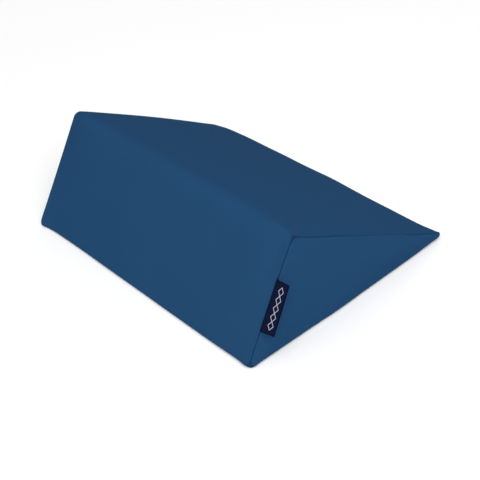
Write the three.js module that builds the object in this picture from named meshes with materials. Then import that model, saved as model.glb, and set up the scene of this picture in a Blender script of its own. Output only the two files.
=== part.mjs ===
// Positioning wedge cushion: a firm foam wedge in a sewn cover of coated fabric, lying on its widest face.
// One long panel wraps round the foam, two triangular panels close its ends, and a folded woven label
// stands out of the near end seam. Millimetres, +Z up, +Y along the cushion from its near end to its far end,
// tall face towards -X. The origin is the middle of the base.
import * as THREE from 'three';
import { mergeVertices } from 'three/addons/utils/BufferGeometryUtils.js';

const { clamp, degToRad, lerp, smoothstep } = THREE.MathUtils;

// Driving dimensions of the wedge: its length from seam to seam, the face that it lies on, and its thin
// angle.
const LENGTH = 500;
const BASE_DEPTH = 400;
const WEDGE_ANGLE = degToRad(30);

// Form of the cover at its near seam, half way along and at its far seam: the rounding at each long edge, and
// how full each face is.
const RADIUS = {
  back: { near: 6.5, middle: 5, far: 3.5 },
  tip: { near: 5, middle: 4, far: 7 },
  ridge: { near: 6, middle: 24, far: 11 },
};
const FULLNESS = {
  base: { near: 0, middle: 0, far: 0 },
  slope: { near: 0, middle: 2, far: 2 },
  tall: { near: 0, middle: 2, far: -0.8 },
};
const FORM_REACH = 108; // length over which an end form turns into the middle form
const FULLNESS_POWER = 1.5; // how fast a face rises from its edges

// How far each corner of an end stands out past the sharp wedge, or is drawn in where it is negative.
const EAR = {
  back: { near: 0.9, far: 4.5 },
  tip: { near: 2.8, far: -3.6 },
  ridge: { near: -2.1, far: -9.2 },
};
const EAR_REACH = 30;

// The base is flat where it rests, a rectangle from its back to its tip side and short of both ends. Past it
// the cover rises to its edges, and the walls take that rise up to a height.
const REST = { back: 60, tip: 330, end: 30, rise: 0.6, wall: 25 };

// Unevenness of the cover: the near tip lifts off the ground, the near slope seam dips beside the ridge, and
// the end seams bow outwards between their corners.
const TIP_LIFT = { height: 3.2, along: 70, back: BASE_DEPTH - REST.tip };
const SEAM_DIP = { depth: 2.5, fromRidge: 43, width: 30 };
const SEAM_BOW = { base: 1.8, slope: 0.5, tall: 0 };
const SEAM_BOW_REACH = 60;

// Seam between the wrap and an end panel: both cloth edges roll into a valley on the diagonal of the corner.
const ROLL_RADIUS = 1.6;
const ROLL_REACH = ROLL_RADIUS * (1 + Math.SQRT2); // from the corner to where a roll leaves its face
const VALLEY_DEPTH = ROLL_RADIUS * (1 + Math.SQRT1_2); // from each face to the valley
const ROLL_TURN = (3 * Math.PI) / 4;
const GAP = 0.3; // between two pieces
const ASIDE = GAP * Math.SQRT1_2; // an end panel's roll stands off the wrap's roll, square to the diagonal
const END_CROWN = 4; // height of the foam's end over its rim

// Label: what shows of it, how far its middle sits from the foot of the tall edge's straight run, and how it
// leaves the seam and leans towards the end panel. Angles are from the end panel's plane.
const LABEL = {
  length: 74,
  width: 20,
  thickness: 1,
  middle: 86,
  rootInset: 1.6,
  rootDepth: 1.9,
  rootAngle: degToRad(98),
  bendAngle: degToRad(78),
  bendRadius: 5,
  freeAngle: degToRad(64),
};

// Steps of the surfaces.
const ARC_STEPS = { back: 6, tip: 6, ridge: 10 };
const SIDE_STEPS = { base: 10, slope: 16, tall: 9 };
const ROLL_STEPS = 4;
const HALF_STEPS = 11;
const HALF_STEP_POWER = 1.7; // steps are shorter near the seams
const CAP_RINGS = [0.9, 0.65, 0.33];
const LABEL_STEPS = 8;

// Colours of the coated fabric and of the woven label.
const COVER = new THREE.MeshStandardMaterial({ color: 0x254a70, roughness: 0.55, metalness: 0 });
const WOVEN = new THREE.MeshStandardMaterial({ color: 0x171a36, roughness: 0.75, metalness: 0 });

// Sharp wedge in the XZ plane, with a right angle at the ridge: its corners, which way each one's ear points,
// and the side that follows each as the outline runs along the base, up the slope and down the tall face.
const TALL_LEG = BASE_DEPTH * Math.sin(WEDGE_ANGLE);
const TALL_ANGLE = Math.PI / 2 - WEDGE_ANGLE;
const RIDGE = new THREE.Vector2(TALL_LEG * Math.cos(TALL_ANGLE), TALL_LEG * Math.sin(TALL_ANGLE));
const CENTROID = new THREE.Vector2(BASE_DEPTH + RIDGE.x, RIDGE.y).divideScalar(3);
const CORNERS = [
  { name: 'back', side: 'base', at: new THREE.Vector2(0, 0), ear: new THREE.Vector2(-1, 0) },
  { name: 'tip', side: 'slope', at: new THREE.Vector2(BASE_DEPTH, 0), ear: new THREE.Vector2(1, 0) },
  { name: 'ridge', side: 'tall', at: RIDGE, ear: RIDGE.clone().sub(CENTROID).normalize() },
];
const END_Y = LENGTH / 2;

// Fades from 1 at an end seam to 0 at a reach from it.
const fade = (distance, reach) => 1 - smoothstep(distance, 0, reach);

// One ring of the cover: the rounded, slightly full triangle at a distance from the near seam's corner, drawn
// in by an inset. shift moves the ring along the cushion and leaves its form alone.
function ring(station, inset, shift = 0) {
  const distance = Math.min(station, LENGTH - station);
  const nearForm = fade(station, FORM_REACH);
  const farForm = fade(LENGTH - station, FORM_REACH);
  const form = ({ near, middle, far }) => middle + (near - middle) * nearForm + (far - middle) * farForm;
  const count = CORNERS.length;
  const corners = CORNERS.map(({ name, at, ear }) => {
    const { near, far } = EAR[name];
    const out = near * fade(station, EAR_REACH) + far * fade(LENGTH - station, EAR_REACH);
    return at.clone().addScaledVector(ear, out);
  });
  const directions = corners.map((at, i) => corners[(i + 1) % count].clone().sub(at).normalize());
  const arcs = CORNERS.map(({ name }, i) => {
    const along = directions[i];
    const back = directions[(i + count - 1) % count].clone().negate();
    const half = along.angleTo(back) / 2;
    const inward = along.clone().add(back).normalize();
    const radius = Math.max(form(RADIUS[name]) - inset, 1);
    const centre = corners[i].clone().addScaledVector(inward, (inset + radius) / Math.sin(half));
    const from = Math.atan2(back.x, -back.y);
    const turn = Math.PI - 2 * half;
    return Array.from({ length: ARC_STEPS[name] + 1 }, (_, k) => {
      const angle = from + (turn * k) / ARC_STEPS[name];
      return new THREE.Vector3(centre.x + radius * Math.cos(angle), 0, centre.y + radius * Math.sin(angle));
    });
  });
  const bowShare = clamp(1 - distance / SEAM_BOW_REACH, 0, 1) ** 2 * (station < END_Y ? -1 : 1);
  const points = arcs.flatMap((arc, i) => {
    const { side } = CORNERS[i];
    const start = arc[arc.length - 1];
    const end = arcs[(i + 1) % count][0];
    const outward = new THREE.Vector3(directions[i].y, 0, -directions[i].x);
    const between = Array.from({ length: SIDE_STEPS[side] - 1 }, (_, k) => {
      const rest = lerp(REST.back, REST.tip, k / (SIDE_STEPS.base - 2));
      const t = side === 'base' ? (rest - start.x) / (end.x - start.x) : (k + 1) / SIDE_STEPS[side];
      const arch = Math.sin(Math.PI * t);
      const toRidge = side === 'slope' ? (1 - t) * start.distanceTo(end) : Infinity;
      const dip = Math.exp(-(((toRidge - SEAM_DIP.fromRidge) / SEAM_DIP.width) ** 2) / 2);
      const drawnIn = SEAM_DIP.depth * dip * fade(station, EAR_REACH);
      const rise = form(FULLNESS[side]) * arch ** FULLNESS_POWER - drawnIn;
      const point = start.clone().lerp(end, t).addScaledVector(outward, rise);
      point.y = SEAM_BOW[side] * arch * bowShare;
      return point;
    });
    return [...arc, ...between];
  });
  for (const point of points) {
    const pastBack = fade(point.x, REST.back);
    const pastTip = fade(BASE_DEPTH - point.x, BASE_DEPTH - REST.tip);
    const pastRest = Math.max(pastBack, pastTip, fade(distance, REST.end));
    const toTip = clamp((point.x - BASE_DEPTH + TIP_LIFT.back) / TIP_LIFT.back, 0, 1);
    point.z += REST.rise * pastRest * fade(point.z, REST.wall);
    point.z += TIP_LIFT.height * toTip ** 2 * fade(station, TIP_LIFT.along);
    point.y += station - END_Y + shift;
  }
  return points;
}

const middleOf = (rim) => rim.reduce((sum, p) => sum.add(p), new THREE.Vector3()).divideScalar(rim.length);

// Rings of a crowned end, from its rim towards its middle, each a smaller copy of the rim.
function capRings(rim, side) {
  const middle = middleOf(rim);
  return CAP_RINGS.map((size) => {
    const crown = new THREE.Vector3(0, side * END_CROWN * (1 - size * size), 0);
    return rim.map((point) => middle.clone().lerp(point, size).add(crown));
  });
}

const capMiddle = (rim, side) => middleOf(rim).add(new THREE.Vector3(0, side * END_CROWN, 0));

// Closed skin over rings of equal count, with a point at each end.
function loft(first, rings, last) {
  const count = rings[0].length;
  const points = [first, ...rings.flat(), last];
  const corner = (row, i) => 1 + row * count + (i % count);
  const faces = [];
  for (let i = 0; i < count; i++) {
    faces.push([0, corner(0, i + 1), corner(0, i)]);
    faces.push([points.length - 1, corner(rings.length - 1, i), corner(rings.length - 1, i + 1)]);
    for (let row = 0; row < rings.length - 1; row++) {
      faces.push([corner(row, i), corner(row, i + 1), corner(row + 1, i + 1)]);
      faces.push([corner(row, i), corner(row + 1, i + 1), corner(row + 1, i)]);
    }
  }
  const geometry = new THREE.BufferGeometry().setFromPoints(points);
  geometry.setIndex((signedVolume(points, faces) < 0 ? faces.map(([a, b, c]) => [a, c, b]) : faces).flat());
  return geometry;
}

const signedVolume = (points, faces) =>
  faces.reduce((sum, [a, b, c]) => sum + points[a].dot(points[b].clone().cross(points[c])) / 6, 0);

// Points of a rolled edge, from its face to the valley: how far across the face's plane each lies, and how
// far from the corner along it.
const roll = Array.from({ length: ROLL_STEPS + 1 }, (_, k) => {
  const turn = (ROLL_TURN * k) / ROLL_STEPS;
  return { across: ROLL_RADIUS * (1 - Math.cos(turn)), along: ROLL_REACH - ROLL_RADIUS * Math.sin(turn) };
});

// The station of a distance from either end. side is -1 for the near end and 1 for the far one.
const stationAt = (side, distance) => (side < 0 ? distance : LENGTH - distance);

// Filled wedge under its wrap panel: from the middle of one end, over the rolled edge and along to the other.
function filledWedge() {
  const rolled = (side) => roll.map(({ across, along }) => ring(stationAt(side, along), across));
  const stretch = (side) =>
    Array.from({ length: HALF_STEPS }, (_, k) => {
      const distance = lerp(ROLL_REACH, END_Y, ((k + 1) / HALF_STEPS) ** HALF_STEP_POWER);
      return ring(stationAt(side, distance), 0);
    });
  const near = [...rolled(-1).reverse(), ...stretch(-1)];
  const far = [...stretch(1).slice(0, -1).reverse(), ...rolled(1)];
  const nearRim = near[0];
  const farRim = far[far.length - 1];
  const rings = [...capRings(nearRim, -1).reverse(), ...near, ...far, ...capRings(farRim, 1)];
  return loft(capMiddle(nearRim, -1), rings, capMiddle(farRim, 1));
}

// Triangular end panel on the foam's crowned end: its underside, its rolled edge and its face.
function endPanel(side) {
  const under = ring(stationAt(side, VALLEY_DEPTH), VALLEY_DEPTH + ASIDE, side * GAP);
  const rolled = roll.map(({ across, along }) => ring(stationAt(side, across), along + ASIDE, side * ASIDE));
  const face = rolled[0];
  const rings = [...capRings(under, side).reverse(), ...rolled.reverse(), ...capRings(face, side)];
  return loft(capMiddle(under, side), rings, capMiddle(face, side));
}

// Folded label: a thin strip whose section leaves the seam, bends over the end panel's rolled edge and leans
// towards the panel, with a round fold at its free edge. In its section, x runs into the end panel and y out
// of it. Each arc is traced from its own centre, and both centres lie on the line across the strip where the
// arcs meet.
function foldedLabel() {
  const { length, width, thickness, middle, rootInset, rootDepth } = LABEL;
  const { rootAngle, bendAngle, bendRadius, freeAngle } = LABEL;
  const half = thickness / 2;
  const across = (angle) => new THREE.Vector2(-Math.sin(angle), Math.cos(angle));
  const leanLength = width - half - bendRadius * (rootAngle - bendAngle);
  const leanRadius = leanLength / (bendAngle - freeAngle);
  const bend = new THREE.Vector2(rootInset, -rootDepth).addScaledVector(across(rootAngle), -bendRadius);
  const lean = bend.clone().addScaledVector(across(bendAngle), bendRadius - leanRadius);
  const fold = lean.clone().addScaledVector(across(freeAngle), leanRadius);
  const facing = (angle) => angle + Math.PI / 2;
  const shape = new THREE.Shape();
  shape.absarc(bend.x, bend.y, bendRadius + half, facing(rootAngle), facing(bendAngle), true);
  shape.absarc(lean.x, lean.y, leanRadius + half, facing(bendAngle), facing(freeAngle), true);
  shape.absarc(fold.x, fold.y, half, facing(freeAngle), facing(freeAngle) - Math.PI, true);
  shape.absarc(lean.x, lean.y, leanRadius - half, facing(freeAngle), facing(bendAngle), false);
  shape.absarc(bend.x, bend.y, bendRadius - half, facing(bendAngle), facing(rootAngle), false);
  const extrusion = { depth: length, bevelEnabled: false, curveSegments: LABEL_STEPS };
  const strip = new THREE.ExtrudeGeometry(shape, extrusion);
  strip.deleteAttribute('normal');
  strip.deleteAttribute('uv');
  const seam = ring(0, 0);
  const foot = seam[0];
  const up = seam[seam.length - SIDE_STEPS.tall].clone().sub(foot).normalize();
  const inward = new THREE.Vector3(up.z, 0, -up.x);
  const standing = new THREE.Matrix4().makeBasis(inward, new THREE.Vector3(0, -1, 0), up.clone().negate());
  standing.setPosition(foot.clone().addScaledVector(up, middle + length / 2));
  return strip.applyMatrix4(standing);
}

function place(name, geometry, material) {
  const merged = mergeVertices(geometry);
  merged.computeVertexNormals();
  const mesh = new THREE.Mesh(merged, material);
  mesh.name = name;
  return mesh;
}

const cushion = new THREE.Group();
cushion.add(
  place('wedge_cushion', filledWedge(), COVER),
  place('end_panel_label_side', endPanel(-1), COVER),
  place('end_panel_far_side', endPanel(1), COVER),
  place('woven_label', foldedLabel(), WOVEN),
);

// The base's middle goes to the origin.
const extent = new THREE.Box3().setFromObject(cushion.getObjectByName('wedge_cushion'));
cushion.position.x = -(extent.min.x + extent.max.x) / 2;
cushion.position.z = -extent.min.z;

export default cushion;
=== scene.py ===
"""Positioning wedge cushion: a foam wedge in a sewn cover of coated fabric, with a folded woven label in one
end seam, lying on its widest face."""

import math

import bmesh
import bpy
import numpy as np
from bpy.props import FloatProperty, FloatVectorProperty, PointerProperty
from mathutils import Matrix, Vector, noise


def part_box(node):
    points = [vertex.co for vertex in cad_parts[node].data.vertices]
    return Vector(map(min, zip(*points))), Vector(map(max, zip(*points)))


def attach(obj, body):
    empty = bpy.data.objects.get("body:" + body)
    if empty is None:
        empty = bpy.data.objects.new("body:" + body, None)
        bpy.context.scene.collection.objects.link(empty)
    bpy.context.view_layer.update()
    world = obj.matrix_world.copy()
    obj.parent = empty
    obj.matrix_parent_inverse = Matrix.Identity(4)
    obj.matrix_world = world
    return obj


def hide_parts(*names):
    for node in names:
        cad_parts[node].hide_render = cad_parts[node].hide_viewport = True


bl_info = {
    "name": "Positioning wedge cushion",
    "version": (1, 0, 0),
    "blender": (4, 5, 0),
    "location": "3D View > Sidebar > Wedge cushion",
    "description": "Dresses a foam wedge in its sewn cover, end panels and woven label",
    "category": "Add Mesh",
}

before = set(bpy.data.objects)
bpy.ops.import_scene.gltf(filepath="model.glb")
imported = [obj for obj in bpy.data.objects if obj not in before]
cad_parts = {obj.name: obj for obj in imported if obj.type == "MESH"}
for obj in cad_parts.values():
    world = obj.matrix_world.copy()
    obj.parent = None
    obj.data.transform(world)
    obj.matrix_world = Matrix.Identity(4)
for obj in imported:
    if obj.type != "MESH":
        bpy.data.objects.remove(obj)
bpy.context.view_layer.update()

MM = 0.001
BODY = "root"
WEDGE, LABEL = "wedge_cushion", "woven_label"
NEAR_END, FAR_END = "end_panel_label_side", "end_panel_far_side"
PIECE_NAMES = {
    WEDGE: "wrap_on_foam",
    NEAR_END: "near_end_panel",
    FAR_END: "far_end_panel",
    LABEL: "folded_label",
}
BASE_DEPTH = 400 * MM
LENGTH = 500 * MM
WEDGE_ANGLE = math.radians(30)
TALL_DEPTH = BASE_DEPTH * math.sin(WEDGE_ANGLE)
SLOPE_DEPTH = BASE_DEPTH * math.cos(WEDGE_ANGLE)
SEAM_VALLEY = 2.73 * MM  # from the end's plane to the valley of its seam

# The sharp wedge under the rounding. Its tall face goes up from the back edge, and INWARD is square to that
# face. The far end's back corner stands a little past the back edge.
UPWARD = np.array([math.sin(WEDGE_ANGLE), 0, math.cos(WEDGE_ANGLE)])
INWARD = np.array([math.cos(WEDGE_ANGLE), 0, -math.sin(WEDGE_ANGLE)])
OUTWARD = np.array([0, -1, 0])
BACK_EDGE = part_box(WEDGE)[0][0] + 1.9 * MM
TIP_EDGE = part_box(WEDGE)[1][0]
NEAR_CORNER = np.array([BACK_EDGE, -LENGTH / 2, 0])
NEAR_RIDGE = NEAR_CORNER + TALL_DEPTH * UPWARD
NEAR_TIP = NEAR_CORNER + np.array([BASE_DEPTH, 0, 0])
FAR_CORNER, FAR_RIDGE, FAR_TIP = (near - LENGTH * OUTWARD for near in (NEAR_CORNER, NEAR_RIDGE, NEAR_TIP))

# The label: where it is caught in the near end seam, how it leaves the seam, and its angles from the end
# panel at its foot and at its head. A part of its width is hidden in the seam.
LABEL_LENGTH = 74.5 * MM
LABEL_MIDDLE = 97.4 * MM
LABEL_WIDTH = 23 * MM
LABEL_HIDDEN = 2.7 * MM
LABEL_ROOT = (1.65 * MM, -2.7 * MM)
LABEL_LEAVES = math.radians(135)
LABEL_FOOT = math.radians(62)
LABEL_HEAD = math.radians(82)
LABEL_DROOP = math.radians(4)
LABEL_ROWS = 30
LABEL_STEPS = 16

# Corners and edges that the cloth draws in or lets stand out: where, how far, and over what reach.
PUSHES = (
    (NEAR_RIDGE, -2 * MM * UPWARD, 22 * MM),
    (FAR_RIDGE, -1 * MM * UPWARD, 22 * MM),
    (NEAR_TIP + np.array([-8, 0, 4]) * MM, np.array([0.6, -1.8, -1.7]) * MM, 12 * MM),
    (NEAR_CORNER, np.array([-2.3, -2.5, 0]) * MM, 16 * MM),
    (FAR_CORNER, np.array([-0.4, 0.6, 0]) * MM, 16 * MM),
    (NEAR_CORNER + np.array([170, 0, 0]) * MM, 1.2 * MM * OUTWARD, 36 * MM),
    (FAR_TIP, np.array([-0.8, -0.8, 0]) * MM, 50 * MM),
)

# Swells of the near slope seam: how far along it from the ridge, how wide, and how far it rises. Where the
# sewing is tight, its valley closes by a little and over a reach. Near the tip the valley lies higher.
SLOPE_SEAM_SWELLS = ((0.86, 0.1, 1.3 * MM), (0.37, 0.08, -1.8 * MM), (0.08, 0.07, -1 * MM))
VALLEY_CLOSES, CLOSING_REACH = 1.8 * MM, 5.5 * MM
TIP_VALLEY_RISE = 2.6 * MM

# Swell of the tip's edge: its middle along the cushion, its width, and how far it stands out.
TIP_SWELL_MIDDLE, TIP_SWELL_WIDTH, TIP_SWELL = -18 * MM, 42 * MM, 2.2 * MM

# How far the rounding of each upright corner reaches.
NEAR_BACK_ROUND, FAR_BACK_ROUND = 15 * MM, 9 * MM
NEAR_TIP_ROUND, FAR_TIP_ROUND = 12 * MM, 22 * MM

# Repeats in the cloth: one stitch of the seams, and one rib of the label. The ribs are 0.5 mm apart on the
# real thing, and are drawn wider to show.
STITCH = 3.5 * MM
RIB = 1.2 * MM

CLOTH_STEPS = 20  # frames of the cloth run

# Camera of the photo: where it stands, which way it looks, and its lens on a 36 mm sensor.
CAMERA_AT = (-0.8211, -1.0821, 0.9978)
CAMERA_AZIMUTH = math.radians(-37.577)
CAMERA_ELEVATION = math.radians(36.795)
CAMERA_ROLL = math.radians(-6.82)
CAMERA_LENS = 81.66
SENSOR = 36

# The floor's side, and its depth under the cushion, which keeps the two surfaces apart. The light comes from
# the camera's side but more steeply down, from a softbox and from a bank of lamps far behind it.
FLOOR_SIZE, FLOOR_DEPTH = 80, 0.05 * MM
LIGHT_FROM = Vector((-0.32, -0.5, 0.8)).normalized()
SOFTBOX_DISTANCE, SOFTBOX_SIZE = 1.4, 1.1
BANK_ANGLE = math.radians(50)


def linear(colour):
    """The linear red, green and blue of an sRGB hex colour."""
    shares = ((colour >> shift & 255) / 255 for shift in (16, 8, 0))
    return tuple(c / 12.92 if c <= 0.04045 else ((c + 0.055) / 1.055) ** 2.4 for c in shares)


class CoverSettings(bpy.types.PropertyGroup):
    """The coated fabric and how it lies over the foam."""

    colour: FloatVectorProperty(
        name="Fabric", description="Colour of the coated fabric", subtype="COLOR", default=linear(0x204366)
    )
    pressure: FloatProperty(
        name="Foam pressure", description="How hard the foam presses on the cover", default=4, min=0, max=10
    )
    bulge: FloatProperty(
        name="Bulge", description="Furthest that the foam moves the cover", default=1.2 * MM, unit="LENGTH"
    )
    pucker: FloatProperty(
        name="Pucker", description="Height of the waves beside the seams", default=0.14 * MM, unit="LENGTH"
    )
    crease: FloatProperty(
        name="Crease", description="Depth of the crease near the ridge", default=1 * MM, unit="LENGTH"
    )
    pad: FloatProperty(
        name="Pad", description="How far the foam fills out by the crease", default=2.6 * MM, unit="LENGTH"
    )
    uneven: FloatProperty(
        name="Unevenness", description="Height of the foam's broad waves", default=0.7 * MM, unit="LENGTH"
    )


class LabelSettings(bpy.types.PropertyGroup):
    """The woven label."""

    ground: FloatVectorProperty(
        name="Ground", description="Colour of the label's ground", subtype="COLOR", default=linear(0x0B122B)
    )
    motif: FloatVectorProperty(
        name="Motif", description="Colour of the woven ornament", subtype="COLOR", default=linear(0xA9A9BC)
    )
    thickness: FloatProperty(
        name="Layer", description="Thickness of one layer of the label", default=0.4 * MM, unit="LENGTH"
    )


class StageSettings(bpy.types.PropertyGroup):
    """The floor and the light."""

    floor: FloatVectorProperty(
        name="Floor", description="Colour of the floor", subtype="COLOR", default=linear(0xFAFAFA)
    )
    key: FloatProperty(name="Softbox", description="Power of the large lamp", default=5.2, unit="POWER")
    even: FloatProperty(name="Bank of lamps", description="Strength of the far light", default=1.45, min=0)
    room: FloatProperty(name="Room light", description="Strength of the light all round", default=0.6, min=0)


def add_node(tree, kind, inputs=None, **settings):
    """A new node with its settings. Inputs are values, or the sockets that feed them."""
    node = tree.nodes.new(kind)
    for name, value in settings.items():
        setattr(node, name, value)
    for name, value in (inputs or {}).items():
        if isinstance(value, bpy.types.NodeSocket):
            tree.links.new(value, node.inputs[name])
        else:
            node.inputs[name].default_value = value
    return node


def new_material(name):
    """An empty node material with its surface shader and output: (material, tree, shader)."""
    material = bpy.data.materials.new(name)
    material.use_nodes = True
    tree = material.node_tree
    tree.nodes.clear()
    shader = add_node(tree, "ShaderNodeBsdfPrincipled")
    add_node(tree, "ShaderNodeOutputMaterial", {"Surface": shader.outputs["BSDF"]})
    return material, tree, shader


def short_forms(tree):
    """Three short functions that add nodes to a tree: a sum, a ramp, and a value kept on the points."""

    def maths(operation, *values):
        return add_node(tree, "ShaderNodeMath", dict(enumerate(values)), operation=operation).outputs["Value"]

    def ramp(value, low, high, start, end, curve="SMOOTHSTEP"):
        inputs = {"Value": value, "From Min": low, "From Max": high, "To Min": start, "To Max": end}
        return add_node(tree, "ShaderNodeMapRange", inputs, interpolation_type=curve).outputs["Result"]

    def kept(name):
        return add_node(tree, "ShaderNodeAttribute", attribute_name=name).outputs["Fac"]

    return maths, ramp, kept


def coated_fabric(colour):
    """Knitted polyester with a polyurethane skin: matte, with a broad soft shine and a fine pressed grain,
    and with dimples where the seams' stitches pull."""
    material, tree, shader = new_material("polyurethane coated knit")
    maths, ramp, kept = short_forms(tree)
    place = add_node(tree, "ShaderNodeTexCoord").outputs["Object"]
    noises = (
        add_node(tree, "ShaderNodeTexNoise", {"Vector": place, "Scale": 1 / size, "Detail": detail})
        for size, detail in ((70 * MM, 2), (1.1 * MM, 3))
    )
    patches, grain = (node.outputs["Fac"] for node in noises)
    tint = ramp(patches, 0, 1, 0.965, 1.035, "LINEAR")
    speck = ramp(grain, 0, 1, 0.95, 1.05, "LINEAR")
    shade = maths("MULTIPLY", tint, speck)
    tinted = add_node(tree, "ShaderNodeVectorMath", {0: (*colour,), "Scale": shade}, operation="SCALE")
    skin = add_node(tree, "ShaderNodeBump", {"Height": grain, "Distance": 0.05 * MM, "Strength": 0.6})
    wave = maths("COSINE", maths("MULTIPLY", kept("seam_run"), 2 * math.pi / STITCH))
    dimples = maths("MULTIPLY", wave, ramp(kept("seam_distance"), 1 * MM, 5 * MM, 1, 0))
    pulled = add_node(
        tree, "ShaderNodeBump", {"Height": dimples, "Distance": 0.28 * MM, "Normal": skin.outputs["Normal"]}
    )
    shader.inputs["Specular IOR Level"].default_value = 0.004
    shader.inputs["Specular Tint"].default_value = (0, 0.3, 1, 1)
    tree.links.new(tinted.outputs["Vector"], shader.inputs["Base Color"])
    tree.links.new(ramp(patches, 0, 1, 0.68, 0.78, "LINEAR"), shader.inputs["Roughness"])
    tree.links.new(pulled.outputs["Normal"], shader.inputs["Normal"])
    return material


def woven_satin(ground, motif):
    """Woven polyester satin: fine ribs on a dark ground, with painted shade darkening it towards the fold and
    the seam edge, dull sealed cut ends, and a chain of open diamonds in pale thread."""
    material, tree, shader = new_material("woven polyester satin")
    maths, ramp, kept = short_forms(tree)
    across, along, front = kept("strip_across"), kept("strip_along"), kept("strip_front")
    half_long, half_high, thread = 6.1 * MM, 3.6 * MM, 0.5 * MM
    middle = LABEL_HIDDEN + 11.5 * MM
    repeat = maths("PINGPONG", maths("SUBTRACT", along, LABEL_LENGTH / 2), half_long)
    sideways = maths("ABSOLUTE", maths("SUBTRACT", across, middle))
    ring = maths("ADD", maths("DIVIDE", repeat, half_long), maths("DIVIDE", sideways, half_high))
    slant = half_long * half_high / math.hypot(half_long, half_high)
    from_line = maths("MULTIPLY", maths("ABSOLUTE", maths("SUBTRACT", ring, 1)), slant)
    line = ramp(from_line, 0.6 * thread, thread, 1, 0)
    from_middle = maths("ABSOLUTE", maths("SUBTRACT", along, LABEL_LENGTH / 2))
    chain = ramp(from_middle, 5 * half_long, 5 * half_long + 0.4 * MM, 1, 0)
    shown = maths("MULTIPLY", maths("MULTIPLY", line, chain), front)
    to_end = maths("SUBTRACT", LABEL_LENGTH / 2, from_middle)
    to_fold = maths("SUBTRACT", LABEL_WIDTH, across)
    to_seam = maths("SUBTRACT", across, LABEL_HIDDEN)
    to_border = maths("MINIMUM", maths("MINIMUM", to_fold, to_seam), to_end)
    # Painted shade: the ground darkens towards the rounded fold and the edge caught in the seam, where shade
    # falls. The same ramp dulls the sealed cut ends.
    painted_edge_shade_and_seal = ramp(to_border, 0.8 * MM, 2.2 * MM, 0.55, 1)
    rib = maths("SINE", maths("MULTIPLY", along, 2 * math.pi / RIB))
    shade = maths("MULTIPLY", painted_edge_shade_and_seal, ramp(rib, -1, 1, 0.88, 1.12))
    cloth = add_node(tree, "ShaderNodeVectorMath", {0: (*ground,), "Scale": shade}, operation="SCALE")
    thread_on = add_node(tree, "ShaderNodeMix", data_type="RGBA")
    tree.links.new(shown, thread_on.inputs["Factor"])
    tree.links.new(cloth.outputs["Vector"], thread_on.inputs["A"])
    thread_on.inputs["B"].default_value = (*motif, 1)
    weave = add_node(tree, "ShaderNodeBump", {"Height": rib, "Distance": 0.05 * MM, "Strength": 0.5})
    raised = add_node(
        tree, "ShaderNodeBump", {"Height": shown, "Distance": 0.15 * MM, "Normal": weave.outputs["Normal"]}
    )
    tree.links.new(thread_on.outputs["Result"], shader.inputs["Base Color"])
    tree.links.new(ramp(rib, -1, 1, 0.62, 0.8), shader.inputs["Roughness"])
    tree.links.new(raised.outputs["Normal"], shader.inputs["Normal"])
    shader.inputs["Specular IOR Level"].default_value = 0.03
    return material


def plain_floor(colour):
    """Painted board: pale and evenly matte."""
    material, tree, shader = new_material("matte painted board")
    place = add_node(tree, "ShaderNodeTexCoord").outputs["Object"]
    mottle = add_node(tree, "ShaderNodeTexNoise", {"Vector": place, "Scale": 1 / (400 * MM)}).outputs["Fac"]
    matte = add_node(tree, "ShaderNodeMapRange", {"Value": mottle, "To Min": 0.8, "To Max": 0.9})
    tree.links.new(matte.outputs["Result"], shader.inputs["Roughness"])
    shader.inputs["Base Color"].default_value = (*colour, 1)
    return material


def select_only(piece):
    """Makes a piece the one selected and active object."""
    if bpy.context.object and bpy.context.object.mode != "OBJECT":
        bpy.ops.object.mode_set(mode="OBJECT")
    bpy.ops.object.select_all(action="DESELECT")
    piece.select_set(True)
    bpy.context.view_layer.objects.active = piece


def copy_of_node(node):
    """A new piece with a CAD node's shape: its loose triangles merged, and turned into quads."""
    piece = bpy.data.objects.new(PIECE_NAMES[node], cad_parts[node].data.copy())
    piece.data.name = piece.name
    piece.data.materials.clear()
    bpy.context.scene.collection.objects.link(piece)
    select_only(piece)
    bpy.ops.object.mode_set(mode="EDIT")
    bpy.ops.mesh.select_all(action="SELECT")
    bpy.ops.mesh.remove_doubles(threshold=0.001 * MM)
    bpy.ops.mesh.customdata_custom_splitnormals_clear()
    bpy.ops.mesh.tris_convert_to_quads(face_threshold=math.pi, shape_threshold=math.pi)
    bpy.ops.object.mode_set(mode="OBJECT")
    return piece


def subdivide(piece, levels):
    """Subdivides a piece into a smooth surface, and applies it."""
    select_only(piece)
    finer = piece.modifiers.new("finer", "SUBSURF")
    finer.levels = finer.render_levels = levels
    bpy.ops.object.modifier_apply(modifier=finer.name)


def points_of(piece):
    """A piece's points as an array."""
    flat = np.empty(len(piece.data.vertices) * 3)
    piece.data.vertices.foreach_get("co", flat)
    return flat.reshape(-1, 3)


def move_points(piece, points):
    """Puts a piece's points where an array says."""
    piece.data.vertices.foreach_set("co", points.ravel())
    piece.data.update()


def normals_of(piece):
    """A piece's point normals as an array."""
    flat = np.empty(len(piece.data.vertices) * 3)
    piece.data.vertex_normals.foreach_get("vector", flat)
    return flat.reshape(-1, 3)


def keep_on_points(piece, **kept):
    """Keeps a value for each of a piece's points, under a name that its material reads."""
    for name, values in kept.items():
        attribute = piece.data.attributes.new(name, "FLOAT", "POINT")
        attribute.data.foreach_set("value", values.astype(np.float32))


def smooth_step(values, low, high):
    """0 below low, 1 above high, and a smooth rise between them."""
    share = np.clip((values - low) / (high - low), 0, 1)
    return share * share * (3 - 2 * share)


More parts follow.
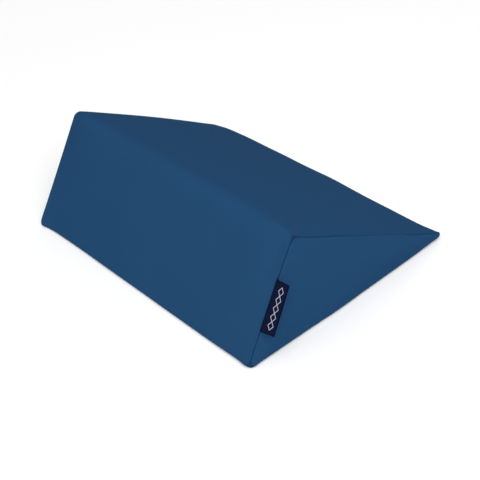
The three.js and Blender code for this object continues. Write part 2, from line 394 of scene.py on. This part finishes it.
def press_out(piece, held, pressure, furthest):
    """The foam presses the cover outwards: a cloth pressure run, which moves no point that held gives 1, and
    none further than the cap furthest."""
    group = piece.vertex_groups.new(name="held")
    for index, weight in enumerate(held):
        group.add([index], float(weight), "REPLACE")
    start = points_of(piece)
    select_only(piece)
    cloth = piece.modifiers.new("foam pressure", "CLOTH")
    cloth.settings.vertex_group_mass = group.name
    cloth.settings.use_pressure = True
    cloth.settings.uniform_pressure_force = pressure
    cloth.settings.effector_weights.gravity = 0
    cloth.point_cache.frame_start, cloth.point_cache.frame_end = 1, CLOTH_STEPS
    for step in range(1, CLOTH_STEPS + 1):
        bpy.context.scene.frame_set(step)
    bpy.ops.object.modifier_apply(modifier=cloth.name)
    bpy.context.scene.frame_set(1)
    moved = points_of(piece) - start
    longest = np.linalg.norm(moved, axis=1).max()
    move_points(piece, start + moved * min(1, furthest / max(longest, 1e-9)))
    piece.vertex_groups.clear()


def seam_line(side):
    """The valley of one end seam, in order round the wedge from under its base. side is -1 for the near end
    and 1 for the far."""
    shape = bmesh.new()
    shape.from_mesh(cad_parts[WEDGE].data)
    level = side * (LENGTH / 2 - SEAM_VALLEY)
    cut = bmesh.ops.bisect_plane(
        shape, geom=[*shape.verts, *shape.edges, *shape.faces], plane_co=(0, level, 0), plane_no=(0, 1, 0)
    )
    found = np.array([v.co for v in cut["geom_cut"] if isinstance(v, bmesh.types.BMVert)])
    shape.free()
    middle = found.mean(0)
    found = found[np.argsort(np.arctan2(found[:, 0] - middle[0], found[:, 2] - middle[2]))]
    apart = np.linalg.norm(found - np.roll(found, 1, axis=0), axis=1) > 0.01 * MM
    return found[apart]


def mark_seams(piece):
    """Gives each point its distance from the nearest end seam, and how far along that seam it is."""
    points = points_of(piece)
    best = np.full(len(points), np.inf)
    run = np.zeros(len(points))
    for side in (-1, 1):
        line = seam_line(side)
        after = np.roll(line, -1, axis=0)
        steps = after - line
        lengths = np.linalg.norm(steps, axis=1)
        starts = np.concatenate([[0], np.cumsum(lengths)[:-1]])
        for at, step, length, start in zip(line, steps, lengths, starts):
            share = np.clip((points - at) @ step / length**2, 0, 1)
            away = np.linalg.norm(points - at - share[:, None] * step, axis=1)
            closer = away < best
            best[closer] = away[closer]
            run[closer] = (start + share * length)[closer]
    keep_on_points(piece, seam_distance=best, seam_run=run)
    return best, run


def tall_edge_bow(height):
    """How far the near seam on the tall edge bows from a straight line, at a height up that edge."""
    share = smooth_step(height, 0, 34 * MM) * (1 - smooth_step(height, TALL_DEPTH - 22 * MM, TALL_DEPTH))
    return share[:, None] * (-1 * MM * INWARD - 1.3 * MM * OUTWARD)


def round_corner(points, to_side, to_end, side, end, reach):
    """Rounds an upright corner where two walls meet, within a reach of it. side and end point away from the
    walls and into the foam, and to_side and to_end are the points' distances from the walls."""
    a = np.clip(1 - to_side / reach, 0, 1)
    b = np.clip(1 - to_end / reach, 0, 1)
    low = (1 - smooth_step(points[:, 2], 0.3 * reach, 1.2 * reach))[:, None]
    off_side = (a * (1 - np.sqrt(1 - b * b / 2)))[:, None] * np.array(side)
    off_end = (b * (1 - np.sqrt(1 - a * a / 2)))[:, None] * np.array(end)
    points += reach * low * (off_side + off_end)


def bow_tall_edges(points, moved):
    """Bows both end seams beside the tall face. The moves go by the old points and are added to the new."""
    height = (points - NEAR_CORNER) @ UPWARD
    inward = np.abs((points - NEAR_CORNER) @ INWARD)
    from_near_edge = np.hypot(inward, points[:, 1] + LENGTH / 2)
    moved += tall_edge_bow(height) * (1 - smooth_step(from_near_edge, 0, 34 * MM))[:, None]
    from_far_edge = np.hypot(inward, LENGTH / 2 - points[:, 1])
    share = smooth_step(height, 0, 25 * MM) * (1 - smooth_step(height, 0.4 * TALL_DEPTH, 0.9 * TALL_DEPTH))
    moved -= (1 * MM * share * (1 - smooth_step(from_far_edge, 0, 40 * MM)))[:, None] * OUTWARD


def draw_slope_seam(points, moved):
    """Swells the near seam of the slope, and closes its valley where the sewing is tight. INWARD goes down
    the slope and UPWARD is square to it, because the ridge is a right angle."""
    along = (points - NEAR_RIDGE) @ INWARD / SLOPE_DEPTH
    under = -(points - NEAR_RIDGE) @ UPWARD
    from_near = points[:, 1] + LENGTH / 2
    for share, width, lift in SLOPE_SEAM_SWELLS:
        swell = np.exp(-(((along - share) / width) ** 2)) * (1 - smooth_step(along, 0.88, 0.97))
        swell *= 1 - smooth_step(np.hypot(under, from_near), 0, 26 * MM)
        moved += (lift * swell)[:, None] * UPWARD
    tight = smooth_step(along, 0.28, 0.36) * (1 - smooth_step(along, 0.66, 0.76))
    tight += smooth_step(along, 0.87, 0.92)
    depth = SEAM_VALLEY - TIP_VALLEY_RISE * smooth_step(along, 0.8, 0.94)
    from_valley = np.hypot(under - depth, from_near - SEAM_VALLEY)
    closed = tight * (1 - smooth_step(from_valley, 0, CLOSING_REACH))
    moved += (VALLEY_CLOSES * closed)[:, None] * (UPWARD + OUTWARD)


def round_corners(points):
    """Rounds the four upright corners of the cushion."""
    tall_face = (points[:, 0] - BACK_EDGE) - points[:, 2] * math.tan(WEDGE_ANGLE)
    round_corner(points, tall_face, points[:, 1] + LENGTH / 2, (1, 0, 0), (0, 1, 0), NEAR_BACK_ROUND)
    round_corner(points, tall_face, LENGTH / 2 - points[:, 1], (1, 0, 0), (0, -1, 0), FAR_BACK_ROUND)
    for end, reach in ((-1, NEAR_TIP_ROUND), (1, FAR_TIP_ROUND)):
        from_tip, from_end = TIP_EDGE - points[:, 0], LENGTH / 2 - end * points[:, 1]
        round_corner(points, from_tip, from_end, (-1, 0, 0), (0, -end, 0), reach)


def draw_cover(points):
    """How the sewing and the foam draw the whole cover: its seams bow and tighten, its corners shift and are
    round, and its tip swells."""
    moved = points.copy()
    bow_tall_edges(points, moved)
    draw_slope_seam(points, moved)
    for place, push, reach in PUSHES:
        moved += np.exp(-((np.linalg.norm(points - place, axis=1) / reach) ** 2))[:, None] * push
    swell = np.exp(-(((points[:, 1] - TIP_SWELL_MIDDLE) / TIP_SWELL_WIDTH) ** 2))
    moved[:, 0] += TIP_SWELL * swell * (1 - smooth_step(TIP_EDGE - points[:, 0], 0, 60 * MM))
    round_corners(moved)
    return moved


def puckers(away, run):
    """Waves of the cloth beside a seam, at a distance from it and a place along it."""
    wave = np.sin(run / (2.9 * MM) + 1.7 * np.sin(run / (23 * MM))) + 0.6 * np.sin(run / (6.7 * MM) + 2)
    return wave * smooth_step(away, 0.8 * MM, 5 * MM) * (1 - smooth_step(away, 7 * MM, 24 * MM))


def foam_waves(points, away):
    """Broad waves of the foam, which fade out towards the seams."""
    waves = np.array([noise.noise(Vector(point) / (75 * MM)) for point in points])
    return waves * smooth_step(away, 3 * MM, 40 * MM)


def crease_and_pad(points):
    """Shares of the tall face's crease under the near end of the ridge, and of the foam's pad beside it."""
    height = (points - NEAR_CORNER) @ UPWARD
    under_ridge = TALL_DEPTH - height
    from_near = points[:, 1] + LENGTH / 2
    on_tall = 1 - smooth_step(np.abs((points - NEAR_CORNER) @ INWARD), 3 * MM, 6 * MM)
    centre = 15 * MM * smooth_step(under_ridge, 3 * MM, 23 * MM)
    crease = on_tall * np.exp(-(((from_near - centre) / (6 * MM)) ** 2))
    crease *= smooth_step(height, 130 * MM, 180 * MM) * smooth_step(under_ridge, 0, 9 * MM)
    pad = on_tall * smooth_step(from_near, 13 * MM, 40 * MM) * (1 - smooth_step(from_near, 60 * MM, 170 * MM))
    pad *= smooth_step(height, 70 * MM, 140 * MM) * smooth_step(under_ridge, 0, 35 * MM)
    return crease, pad


def lay_cover(piece, cover):
    """Puckers beside the seams, broad waves of the foam, the crease and the pad under the ridge, and the
    drawn form of the whole. The base stays flat."""
    away, run = mark_seams(piece)
    points, normals = points_of(piece), normals_of(piece)
    crease, pad = crease_and_pad(points)
    rise = cover.pucker * puckers(away, run) + cover.uneven * foam_waves(points, away)
    rise += cover.pad * pad - cover.crease * crease
    rise *= smooth_step(points[:, 2], 0.5 * MM, 8 * MM)
    points = draw_cover(points + normals * rise[:, None])
    points[:, 2] = np.maximum(points[:, 2], 0)
    move_points(piece, points)


def finish_piece(piece, material, slot, *nodes):
    """Smooth shading, its material, and its place in the frame."""
    select_only(piece)
    bpy.ops.object.shade_smooth()
    piece.data.materials.append(material)
    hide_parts(*nodes)
    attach(piece, BODY)


class WEDGE_OT_wrap(bpy.types.Operator):
    """The long wrap panel, tight over the foam."""

    bl_idname = "wedge.wrap"
    bl_label = "Wrap panel on its foam"

    def execute(self, context):
        cover = context.scene.cushion_cover
        piece = copy_of_node(WEDGE)
        subdivide(piece, 1)
        points = points_of(piece)
        from_end = LENGTH / 2 - np.abs(points[:, 1])
        at_seams = 1 - smooth_step(from_end, 5 * MM, 12 * MM)
        at_base = 1 - smooth_step(points[:, 2], 1 * MM, 6 * MM)
        press_out(piece, np.maximum(at_seams, at_base), cover.pressure, cover.bulge)
        subdivide(piece, 1)
        lay_cover(piece, cover)
        finish_piece(piece, coated_fabric(cover.colour), "cover", WEDGE)
        return {"FINISHED"}


class WEDGE_OT_end_panels(bpy.types.Operator):
    """The two triangular end panels."""

    bl_idname = "wedge.end_panels"
    bl_label = "End panels"

    def execute(self, context):
        cover = context.scene.cushion_cover
        for node in (NEAR_END, FAR_END):
            piece = copy_of_node(node)
            subdivide(piece, 2)
            lay_cover(piece, cover)
            finish_piece(piece, coated_fabric(cover.colour), "cover", node)
        return {"FINISHED"}


class WEDGE_OT_label(bpy.types.Operator):
    """The folded label in the near end seam."""

    bl_idname = "wedge.label"
    bl_label = "Folded woven label"

    def execute(self, context):
        label = context.scene.cushion_label
        piece = self.fold_strip(label.thickness)
        self.curl(piece, label.thickness)
        finish_piece(piece, woven_satin(label.ground, label.motif), "label", LABEL)
        select_only(piece)
        bpy.ops.object.shade_smooth_by_angle(angle=math.radians(40))
        return {"FINISHED"}

    def fold_strip(self, thickness):
        """A strip lying flat and folded in two, with its raw edges at X = 0 and its fold on the far side."""
        step = LABEL_WIDTH / LABEL_STEPS
        bpy.ops.object.select_all(action="DESELECT")
        bpy.ops.mesh.primitive_grid_add(x_subdivisions=1, y_subdivisions=LABEL_ROWS, size=1)
        piece = bpy.context.object
        piece.name = piece.data.name = PIECE_NAMES[LABEL]
        bpy.ops.object.mode_set(mode="EDIT")
        bpy.ops.transform.resize(value=(step, LABEL_LENGTH, 1))
        bpy.ops.transform.translate(value=(step / 2, 0, 0))
        self.pick_edge(piece, step)
        for _ in range(LABEL_STEPS - 1):
            bpy.ops.mesh.extrude_region_move(TRANSFORM_OT_translate={"value": (step, 0, 0)})
        middle = (LABEL_WIDTH, 0, 0.6 * thickness)
        bpy.ops.mesh.spin(steps=6, angle=math.pi, center=middle, axis=(0, -1, 0))
        for _ in range(LABEL_STEPS):
            bpy.ops.mesh.extrude_region_move(TRANSFORM_OT_translate={"value": (-step, 0, 0)})
        bpy.ops.mesh.select_all(action="SELECT")
        bpy.ops.mesh.remove_doubles(threshold=0.01 * MM)
        bpy.ops.mesh.normals_make_consistent(inside=False)
        bpy.ops.object.mode_set(mode="OBJECT")
        wall = piece.modifiers.new("layer", "SOLIDIFY")
        wall.thickness, wall.offset = thickness, 0
        bpy.ops.object.modifier_apply(modifier=wall.name)
        return piece

    def pick_edge(self, piece, across):
        """Selects the points of a flat strip that lie at a distance across it."""
        bpy.ops.mesh.select_all(action="DESELECT")
        bpy.ops.object.mode_set(mode="OBJECT")
        for point in piece.data.vertices:
            point.select = abs(point.co.x - across) < 0.01 * MM
        bpy.ops.object.mode_set(mode="EDIT")

    def curl(self, piece, thickness):
        """Stands the strip in its seam: it leaves on the corner's diagonal and leans over the end panel, more
        so at its foot than at its head. The flat strip's top layer becomes the side that faces the camera."""
        across, along, level = points_of(piece).T
        from_foot, front = along + LABEL_LENGTH / 2, level > 0.6 * thickness
        keep_on_points(piece, strip_across=across, strip_along=from_foot, strip_front=front)
        stand = LABEL_FOOT + (LABEL_HEAD - LABEL_FOOT) * (along / LABEL_LENGTH + 0.5)
        walk = np.linspace(0, 1, 41) * across[:, None]
        turned = smooth_step(walk, 0.8 * MM, 6.5 * MM)
        angle = LABEL_LEAVES + (stand[:, None] - LABEL_LEAVES) * turned - LABEL_DROOP * walk / LABEL_WIDTH
        middle = (angle[:, 1:] + angle[:, :-1]) / 2
        pace = (across / 40)[:, None]
        into = LABEL_ROOT[0] + (np.cos(middle) * pace).sum(1)
        out = LABEL_ROOT[1] + (np.sin(middle) * pace).sum(1)
        pinched = 0.45 + 0.55 * smooth_step(across, 0, 3 * MM)
        lift = (level - 0.6 * thickness) * pinched
        into -= np.sin(angle[:, -1]) * lift
        out += np.cos(angle[:, -1]) * lift
        height = LABEL_MIDDLE + along
        places = NEAR_CORNER + height[:, None] * UPWARD + into[:, None] * INWARD + out[:, None] * OUTWARD
        move_points(piece, places + tall_edge_bow(height))


class WEDGE_OT_stage(bpy.types.Operator):
    """The pale floor, the soft light and the photo's camera."""

    bl_idname = "wedge.stage"
    bl_label = "Floor, light and camera"

    def execute(self, context):
        stage = context.scene.cushion_stage
        self.place_camera(context.scene)
        self.lay_floor(stage)
        self.light(context.scene, stage)
        return {"FINISHED"}

    def place_camera(self, scene):
        """Stands the camera where the photo was taken from, turned and rolled as it was."""
        turn, tilt, roll = CAMERA_AZIMUTH, CAMERA_ELEVATION, CAMERA_ROLL
        back = Vector((math.sin(turn) * math.cos(tilt), -math.cos(turn) * math.cos(tilt), math.sin(tilt)))
        right = (-back).cross(Vector((0, 0, 1))).normalized()
        down = (-back).cross(right)
        across = math.cos(roll) * right - math.sin(roll) * down
        up = -(math.sin(roll) * right + math.cos(roll) * down)
        camera = bpy.data.objects.new("camera", bpy.data.cameras.new("camera"))
        camera.data.lens, camera.data.sensor_width = CAMERA_LENS, SENSOR
        camera.matrix_world = Matrix.Translation(CAMERA_AT) @ Matrix((across, up, back)).transposed().to_4x4()
        scene.collection.objects.link(camera)
        scene.camera = camera

    def lay_floor(self, stage):
        """A wide floor that the cushion lies on."""
        bpy.ops.object.select_all(action="DESELECT")
        bpy.ops.mesh.primitive_plane_add(size=FLOOR_SIZE, location=(0, 0, -FLOOR_DEPTH))
        floor = bpy.context.object
        floor.name = floor.data.name = "floor"
        floor.data.materials.append(plain_floor(stage.floor))

    def light(self, scene, stage):
        """A large soft light high up on the camera's side, a bank of lamps behind it, and an even room."""
        lamp = bpy.data.lights.new("softbox", "AREA")
        lamp.shape, lamp.size, lamp.energy = "DISK", SOFTBOX_SIZE, stage.key
        softbox = bpy.data.objects.new("softbox", lamp)
        softbox.location = LIGHT_FROM * SOFTBOX_DISTANCE
        softbox.rotation_euler = LIGHT_FROM.to_track_quat("Z", "Y").to_euler()
        scene.collection.objects.link(softbox)
        far = bpy.data.lights.new("lamp bank", "SUN")
        far.energy, far.angle = stage.even, BANK_ANGLE
        bank = bpy.data.objects.new("lamp_bank", far)
        bank.rotation_euler = softbox.rotation_euler
        scene.collection.objects.link(bank)
        world = bpy.data.worlds.new("room")
        world.use_nodes = True
        world.node_tree.nodes["Background"].inputs["Color"].default_value = (1, 1, 1, 1)
        world.node_tree.nodes["Background"].inputs["Strength"].default_value = stage.room
        scene.world = world
        scene.view_settings.view_transform = "Standard"


class WEDGE_PT_panel(bpy.types.Panel):
    """The cushion's pieces and their settings."""

    bl_idname = "WEDGE_PT_panel"
    bl_label = "Wedge cushion"
    bl_space_type = "VIEW_3D"
    bl_region_type = "UI"
    bl_category = "Wedge cushion"

    def draw(self, context):
        for group in SETTINGS:
            box, settings = self.layout.box(), getattr(context.scene, group)
            for name in settings.__annotations__:
                box.prop(settings, name)
        for operator in OPERATORS:
            self.layout.operator(operator.bl_idname)


SETTINGS = {"cushion_cover": CoverSettings, "cushion_label": LabelSettings, "cushion_stage": StageSettings}
OPERATORS = (WEDGE_OT_stage, WEDGE_OT_wrap, WEDGE_OT_end_panels, WEDGE_OT_label)
CLASSES = (*SETTINGS.values(), *OPERATORS, WEDGE_PT_panel)


def register():
    for item in CLASSES:
        bpy.utils.register_class(item)
    for name, settings in SETTINGS.items():
        setattr(bpy.types.Scene, name, PointerProperty(type=settings))


def unregister():
    for name in SETTINGS:
        delattr(bpy.types.Scene, name)
    for item in reversed(CLASSES):
        bpy.utils.unregister_class(item)


def main():
    register()
    bpy.ops.wedge.stage()
    bpy.ops.wedge.wrap()
    bpy.ops.wedge.end_panels()
    bpy.ops.wedge.label()


if __name__ == "__main__":
    main()
